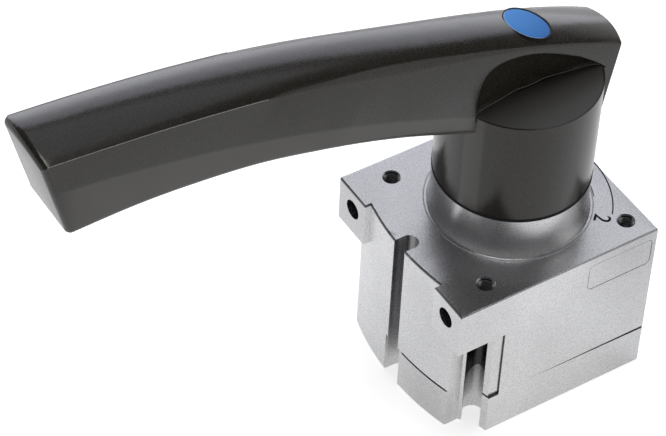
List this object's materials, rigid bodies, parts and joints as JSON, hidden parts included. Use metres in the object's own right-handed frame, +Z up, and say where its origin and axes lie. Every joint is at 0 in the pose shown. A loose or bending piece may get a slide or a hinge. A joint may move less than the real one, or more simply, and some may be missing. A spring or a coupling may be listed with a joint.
{
  "type": "hand lever air valve",
  "caption": "Rotary hand lever valve for compressed air: die-cast block with mounting flange and collar, and a curved black lever with a capped hub.",
  "frame": {"origin": "on the turning axis of the lever, at the underside of the base", "axes": "+Z up along the turning axis; the lever points to -X at rest and its tail to +X; -Y is the front wall with the shallow recess"},
  "size_m": [0.1621, 0.0564, 0.1384],
  "materials": {
    "housing_cast": "blasted die-cast, satin",
    "lever_black": "moulded, glossy",
    "cap_blue": "moulded, satin",
    "steel": "zinc plated",
    "spindle_steel": "turned and ground",
    "ball_steel": "polished",
    "seal_rubber": "matt",
    "bush_bronze": "sintered",
    "disc_plastic": "matt",
    "seat_steel": "lapped"
  },
  "bodies": {
    "housing": {"upper_housing": "housing_cast", "base_housing": "housing_cast", "housing_gasket": "seal_rubber", "housing_screws": "steel", "port_seals": "seal_rubber", "seat_disc": "seat_steel", "seat_pin": "steel", "spindle_bush": "bush_bronze", "spindle_seal": "seal_rubber", "detent_balls": "ball_steel", "detent_springs": "steel", "stop_pin": "steel"},
    "hand_lever": {"lever": "lever_black", "cap": "cap_blue", "lever_screw": "steel", "lever_washer": "steel", "spindle": "spindle_steel", "retaining_ring": "steel", "thrust_washer": "disc_plastic", "detent_plate": "spindle_steel", "drive_pins": "steel", "disc_springs": "steel", "control_disc": "disc_plastic"}
  },
  "joints": [
    {"name": "lever_turn", "type": "hinge", "parent": "housing", "child": "hand_lever", "pos_m": [0, 0, 0.05], "axis": [0, 0, 1], "range_deg": [-45, 45]}
  ]
}
